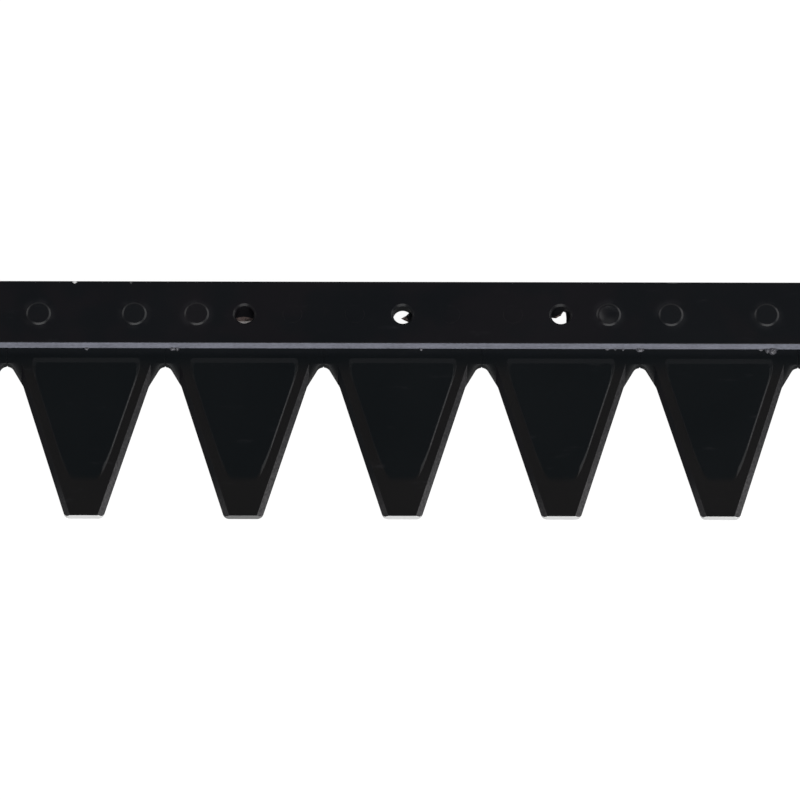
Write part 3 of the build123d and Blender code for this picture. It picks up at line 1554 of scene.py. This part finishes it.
@dataclass
class SeamPaint:
    """Enamel that has filled the joints between the sections.

    Attributes:
        plan: Places shared with the other pieces.
        depth: How far it lies below the sections' upper face.
        root_y: Where the joints end at the notch roots.
        overlap: How far it reaches into the sections beside it.
    """

    plan: KnifePlan
    depth: float = 0.25 * MM
    root_y: float = -21.3 * MM
    overlap: float = 0.05 * MM

    def build(self, finishes: Finishes) -> list[bpy.types.Object]:
        """Models one filled joint, and copies and dresses all of them.

        Args:
            finishes: The knife's finishes.

        Returns:
            The filled joints as one piece.
        """
        half = self.plan.pitch / 2 - self.plan.section_high.x + self.overlap
        rear = self.plan.section_high.y - self.overlap
        outline = [(-half, self.root_y), (half, self.root_y), (half, rear), (-half, rear)]
        top = self.plan.section_top - self.depth
        model = prism("seam", outline, self.depth, top)
        soften(model, self.overlap, segments=2)
        joints = [
            copied(model, "seam", (left + right) / 2)
            for left, right in zip(self.plan.centres, self.plan.centres[1:])
        ]
        bpy.data.objects.remove(model)
        return [dress(join(joints, "seam_paint"), finishes.section, "section_enamel")]


@dataclass(frozen=True)
class Bead:
    """One bead of coating in the corner under the knife back, in millimetres.

    Attributes:
        x: Its place along the knife.
        width: Its width along the knife.
        reach: How far it stands out from the knife back.
        height: Its height on the section.
    """

    x: float
    width: float
    reach: float
    height: float


@dataclass
class PaintBeads:
    """Beads of coating that ran out between the knife back and the sections.

    Attributes:
        plan: Places shared with the other pieces.
        beads: The beads.
        fineness: How often the ball that a bead starts from is divided.
        lumpiness: How uneven their surface is, as a share of their height.
        evenness: Share of the lumps that all have one depth.
        outward_share: Share of the lumps that point outwards.
        smoothing: How far the lumps are smoothed in a round.
        smoothing_rounds: Rounds of smoothing.
        sharp_deg: Edges over this angle stay sharp.
        seed: Start of the random draws.
    """

    plan: KnifePlan
    beads: tuple[Bead, ...] = (
        Bead(-139.8, 2.2, 1.2, 0.7),
        Bead(-101.8, 3.2, 1.3, 0.8),
        Bead(-99.8, 2.2, 1.5, 0.9),
        Bead(8.2, 1.8, 1.2, 0.8),
        Bead(90.6, 2.0, 0.7, 0.5),
        Bead(94.2, 1.2, 0.7, 0.5),
        Bead(97.6, 1.4, 0.8, 0.5),
        Bead(105.2, 4.0, 1.6, 1.0),
        Bead(158.6, 2.4, 0.9, 0.6),
        Bead(161.6, 2.6, 2.0, 1.0),
        Bead(163.8, 4.2, 2.8, 1.6),
    )
    fineness: int = 4
    lumpiness: float = 0.12
    evenness: float = 0.3
    outward_share: float = 0.6
    smoothing: float = 0.6
    smoothing_rounds: int = 3
    sharp_deg: float = 50.0
    seed: int = 7

    def build(self, finishes: Finishes) -> list[bpy.types.Object]:
        """Models and dresses the beads.

        Args:
            finishes: The knife's finishes.

        Returns:
            All the beads as one piece.
        """
        pieces = [self.model(bead, number) for number, bead in enumerate(self.beads)]
        piece = join(pieces, "paint_beads")
        take(piece)
        bpy.ops.object.shade_smooth_by_angle(angle=math.radians(self.sharp_deg))
        return [dress(piece, finishes.bead, "section_enamel")]

    def model(self, bead: Bead, number: int) -> bpy.types.Object:
        """Models one bead in the corner of bar and section.

        Args:
            bead: Its place and size.
            number: Its number, for its random draws.

        Returns:
            The bead, cut flat where it meets the bar and the section.
        """
        front, top = self.plan.bar_low.y, self.plan.section_top
        clear_bench()
        bpy.ops.mesh.primitive_ico_sphere_add(
            subdivisions=self.fineness,
            radius=START_RADIUS,
            location=(bead.x * MM, front, top),
            scale=(bead.width * MM / 2, bead.reach * MM, bead.height * MM),
        )
        piece = bpy.context.object
        settle(piece)
        pick(piece, Part.VERTEX, lambda place, way: True)
        bpy.ops.transform.vertex_random(
            offset=self.lumpiness * bead.height * MM,
            uniform=self.evenness,
            normal=self.outward_share,
            seed=self.seed + number,
        )
        bpy.ops.mesh.vertices_smooth(factor=self.smoothing, repeat=self.smoothing_rounds)
        bpy.ops.mesh.select_all(action="SELECT")
        bpy.ops.mesh.bisect(plane_co=(0, front, 0), plane_no=(0, 1, 0), use_fill=True, clear_outer=True)
        bpy.ops.mesh.select_all(action="SELECT")
        bpy.ops.mesh.bisect(plane_co=(0, 0, top), plane_no=(0, 0, -1), use_fill=True, clear_outer=True)
        close_up(piece)
        return piece


@dataclass(frozen=True)
class Film:
    """A patch of film across a bolt hole, bounded by a free edge and the hole's wall.

    Attributes:
        hole: Number of the hole, from left to right.
        kind: How thick the film is.
        free_edge: Points of its free edge about the hole's axis, in millimetres.
        wall_deg: Angles along the wall from the last point of the free edge to the first.
    """

    hole: int
    kind: FilmKind
    free_edge: tuple[Point, ...]
    wall_deg: tuple[float, float]


@dataclass
class HoleFilms:
    """Films of coating that dried across the bolt holes, brown where the coating runs thinner, over a pale
    sheet in the left hole that is painted light from the floor below.

    Attributes:
        plan: Places shared with the other pieces.
        films: The films.
        height: Height of the lowest film.
        thickness: Thickness of each film, and the step from one to the next.
        overlap: How far they reach into the wall.
        wall_steps: Steps along the wall.
    """

    plan: KnifePlan
    films: tuple[Film, ...] = (
        # The pale sheet under the others is painted light, coloured as the floor seen through the hole.
        Film(0, FilmKind.BACKLIT, (), (-88.0, 268.0)),
        Film(0, FilmKind.BROWN, ((-2.4, -1.35), (0.0, -1.55), (2.4, -1.3)), (-10.0, 193.0)),
        Film(0, FilmKind.DARK, ((-1.8, 0.55), (-0.4, 0.75), (1.6, 0.4)), (-2.0, 181.0)),
        Film(1, FilmKind.BROWN, ((1.4, 1.25), (-0.7, 0.1), (0.5, -0.7), (2.2, -1.5)), (-32.0, 44.0)),
        Film(1, FilmKind.DARK, ((1.4, 1.25), (0.6, 0.8), (2.0, 0.5), (2.4, -0.6)), (-20.0, 44.0)),
        Film(2, FilmKind.BROWN, ((-2.0, 0.35), (-0.9, 1.1), (0.15, 1.6), (0.5, 2.5)), (69.0, 173.0)),
        Film(2, FilmKind.DARK, ((-2.4, 0.9), (-1.4, 1.5), (-0.3, 2.3), (0.5, 2.7)), (69.0, 169.0)),
        Film(2, FilmKind.DARK, ((2.35, 2.2), (2.5, 0.5), (2.45, -1.2)), (-51.0, 61.0)),
    )
    height: float = 5.0 * MM
    thickness: float = 0.06 * MM
    overlap: float = 0.03 * MM
    wall_steps: int = 24

    def build(self, finishes: Finishes) -> list[bpy.types.Object]:
        """Models and dresses the films.

        Args:
            finishes: The knife's finishes.

        Returns:
            The films of each kind as one piece.
        """
        pieces = []
        for kind, finish in finishes.films.items():
            patches = [self.model(film) for film in self.films if film.kind is kind]
            pieces.append(dress(join(patches, f"{kind.name.lower()}_hole_films"), finish, "bar_enamel"))
        return pieces

    def model(self, film: Film) -> bpy.types.Object:
        """Models one patch of film.

        Args:
            film: Its hole, kind and outline.

        Returns:
            The patch.
        """
        centre = self.plan.bolt_places()[film.hole]
        wall = arc((centre, 0.0), self.plan.hole_radius + self.overlap, *film.wall_deg, self.wall_steps)
        free = [(centre + x * MM, y * MM) for x, y in film.free_edge]
        low = self.height + film.kind.value * self.thickness
        return prism("film", free + wall, low, low + 2 * self.thickness)


@dataclass(frozen=True)
class Softbox:
    """A square area light.

    Attributes:
        name: Name of the light.
        azimuth_deg: Where it stands, from +X towards +Y.
        elevation_deg: Its height over the horizon.
        distance: Its distance from the middle of the view.
        size: Its side.
        power: Its power in watts.
    """

    name: str
    azimuth_deg: float
    elevation_deg: float
    distance: float
    size: float
    power: float

    def build(self, aim: Vector) -> None:
        """Sets up the light.

        Args:
            aim: The point that it faces.
        """
        data = bpy.data.lights.new(self.name, "AREA")
        data.shape = "SQUARE"
        data.size = self.size
        data.energy = self.power
        lamp = bpy.data.objects.new(self.name, data)
        bpy.context.scene.collection.objects.link(lamp)
        azimuth, elevation = math.radians(self.azimuth_deg), math.radians(self.elevation_deg)
        level = math.cos(elevation)
        away = Vector((level * math.cos(azimuth), level * math.sin(azimuth), math.sin(elevation)))
        lamp.location = aim + away * self.distance
        lamp.rotation_euler = away.to_track_quat("Z", "Y").to_euler()


@dataclass
class Studio:
    """The floor, the light and the camera.

    Attributes:
        focus: The point at the middle of the view.
        tilt_deg: Slant of the view from straight down.
        distance: Distance of the camera from the focus.
        span: Width of the view at the focus.
        roll_deg: Turn of the camera about its own axis.
        floor_size: Side of the floor.
        floor_gap: How far the floor lies below the sections.
        floor_colour: Colour of the floor.
        floor_glow: What the floor adds where it is seen, so that it shows white.
        mirrored_share: Share of that glow that polished faces near the floor pick up.
        horizon: Brightness of the surroundings at the horizon.
        zenith: Brightness of the surroundings overhead.
        softboxes: The lights.
    """

    focus: Vector = field(default_factory=lambda: Vector((-1.1 * MM, -38.8 * MM, 4.0 * MM)))
    tilt_deg: float = 23.5
    distance: float = 4.7
    span: float = 353.4 * MM
    roll_deg: float = 0.12
    floor_size: float = 14.0
    floor_gap: float = 0.05 * MM
    floor_colour: Colour = grey(0.12)
    floor_glow: float = 0.95
    mirrored_share: float = 0.1
    horizon: float = 0.4
    zenith: float = 0.0
    softboxes: tuple[Softbox, ...] = (
        Softbox("key_front", azimuth_deg=-82.0, elevation_deg=45.0, distance=6.0, size=6.5, power=425.0),
        Softbox("fill_right", azimuth_deg=26.0, elevation_deg=28.0, distance=2.6, size=2.7, power=38.0),
        Softbox("fill_left", azimuth_deg=145.0, elevation_deg=22.0, distance=2.6, size=1.6, power=10.0),
        Softbox("glint_back", azimuth_deg=90.0, elevation_deg=42.0, distance=3.0, size=1.2, power=2.5),
    )

    def build(self) -> None:
        """Sets up floor, surroundings, lights and camera."""
        self.lay_floor()
        self.light_surroundings()
        for softbox in self.softboxes:
            softbox.build(self.focus)
        self.place_camera()
        bpy.context.scene.view_settings.view_transform = "Standard"

    def seen(self, board: Board) -> Value:
        """Works out how much of the glow shows: all to the camera, and a share in polished faces.

        Args:
            board: The node tree of the floor or the surroundings.

        Returns:
            The share that shows.
        """
        path = board.node("ShaderNodeLightPath").socket.node.outputs
        camera, glossy, through = (
            Value(board, path[name]) for name in ("Is Camera Ray", "Is Glossy Ray", "Is Transmission Ray")
        )
        return camera.larger(through).larger(glossy * self.mirrored_share)

    def lay_floor(self) -> None:
        """Lays a pale floor that shows white and keeps the shadow."""
        clear_bench()
        bpy.ops.mesh.primitive_plane_add(size=self.floor_size, location=(0, 0, -self.floor_gap))
        floor = bpy.context.object
        floor.name = "studio_floor"
        settle(floor)
        material = bpy.data.materials.new("studio_floor")
        board = Board(material)
        matt = board.node("ShaderNodeBsdfDiffuse", inputs={"Color": self.floor_colour})
        glow = board.node("ShaderNodeEmission", inputs={"Strength": self.floor_glow})
        bright = board.node("ShaderNodeAddShader", inputs={0: matt, 1: glow})
        both = board.node("ShaderNodeMixShader", inputs={0: self.seen(board), 1: matt, 2: bright})
        board.node("ShaderNodeOutputMaterial", inputs={"Surface": both})
        floor.data.materials.append(material)

    def light_surroundings(self) -> None:
        """Lights the surroundings, pale at the horizon and dim overhead, and white to the camera."""
        world = bpy.data.worlds.new("studio")
        bpy.context.scene.world = world
        board = Board(world)
        way = board.node("ShaderNodeTexCoord", output="Generated")
        split = board.node("ShaderNodeSeparateXYZ", inputs={0: way})
        height = Value(board, split.socket.node.outputs[2])
        room = board.mix(height.step(0.0, 1.0), grey(self.horizon), grey(self.zenith))
        shown = board.mix(self.seen(board), room, grey(1.0))
        back = board.node("ShaderNodeBackground", inputs={"Color": shown, "Strength": 1.0})
        board.node("ShaderNodeOutputWorld", inputs={"Surface": back})

    def place_camera(self) -> None:
        """Puts the camera where the photograph was taken from."""
        data = bpy.data.cameras.new("photo_camera")
        data.lens = data.sensor_width * self.distance / self.span
        data.clip_end = 4 * self.distance
        camera = bpy.data.objects.new("photo_camera", data)
        bpy.context.scene.collection.objects.link(camera)
        tilt = math.radians(self.tilt_deg)
        camera.location = self.focus + Vector((0, -math.sin(tilt), math.cos(tilt))) * self.distance
        turn = Matrix.Rotation(tilt, 3, "X") @ Matrix.Rotation(math.radians(self.roll_deg), 3, "Z")
        camera.rotation_euler = turn.to_euler()
        bpy.context.scene.camera = camera


def write_sizes() -> None:
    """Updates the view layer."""
    bpy.context.view_layer.update()


def main() -> None:
    """Builds the knife and the studio round it."""
    logging.basicConfig(level=logging.INFO, format="%(name)s %(message)s")
    plan = KnifePlan.from_frame()
    finishes = Finishes.make(plan)
    for kind in (KnifeBack, BladeSections, Rivets, SeamPaint, PaintBeads, HoleFilms):
        for piece in kind(plan).build(finishes):
            LOG.info("%s: %d faces", piece.name, len(piece.data.polygons))
    Studio().build()
    write_sizes()


if __name__ == "__main__":
    main()
